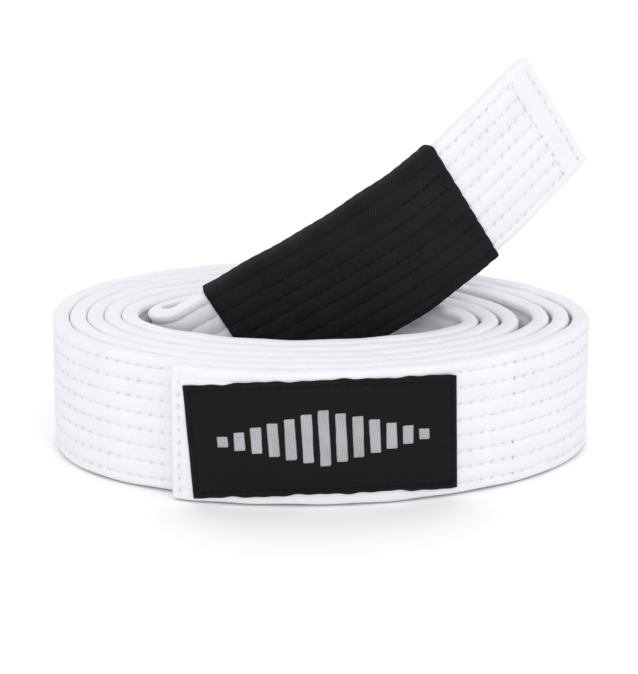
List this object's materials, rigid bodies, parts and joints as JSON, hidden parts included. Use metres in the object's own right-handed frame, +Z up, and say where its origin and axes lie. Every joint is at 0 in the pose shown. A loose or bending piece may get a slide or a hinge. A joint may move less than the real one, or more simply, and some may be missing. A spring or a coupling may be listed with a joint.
{
  "type": "coiled martial arts belt",
  "caption": "White quilted cotton martial arts belt coiled flat, with a black label near its outer end and a black rank bar on the tail that stands up out of the coil.",
  "frame": {"origin": "centre of the bounding box on the plane that the coil rests on", "axes": "+Z up; the coil's long direction lies along X with the raised tail towards +X; the label faces -Y"},
  "size_m": [0.1627, 0.112, 0.111],
  "materials": {
    "white_cotton": "white cotton twill, quilted",
    "padding_canvas": "unbleached canvas strips",
    "white_thread": "white sewing thread",
    "black_label": "black satin woven label",
    "grey_thread": "light grey woven thread",
    "black_thread": "black sewing thread",
    "black_twill": "black cotton twill"
  },
  "bodies": {
    "coil": {"coil_cover": "white_cotton", "coil_padding": "padding_canvas", "coil_stitching": "white_thread", "rise_cover": "white_cotton", "rise_padding": "padding_canvas"},
    "label_end": {"label_end_cover": "white_cotton", "label_end_padding": "padding_canvas", "label_end_stitching": "white_thread", "label_patch": "black_label", "label_motif": "grey_thread", "label_stitching": "black_thread"},
    "tail": {"tail_cover": "white_cotton", "tail_padding": "padding_canvas", "rank_bar": "black_twill", "rank_bar_stitching": "black_thread"},
    "tip": {"tip_cover": "white_cotton", "tip_padding": "padding_canvas", "tip_stitching": "white_thread"}
  },
  "joints": [
    {"name": "label_end_peel", "type": "hinge", "parent": "coil", "child": "label_end", "pos_m": [0.04373, -0.0399, 0], "axis": [0, 0, 1], "range_deg": [0, 60]},
    {"name": "tail_bend", "type": "hinge", "parent": "coil", "child": "tail", "pos_m": [-0.03361, -0.00011, 0.0261], "axis": [-0.4963, -0.1547, 0.8543], "range_deg": [-8, 3]},
    {"name": "tip_bend", "type": "hinge", "parent": "tail", "child": "tip", "pos_m": [0.04514, 0.01543, 0.07466], "axis": [-0.4963, -0.1547, 0.8543], "range_deg": [-45, 45]}
  ]
}
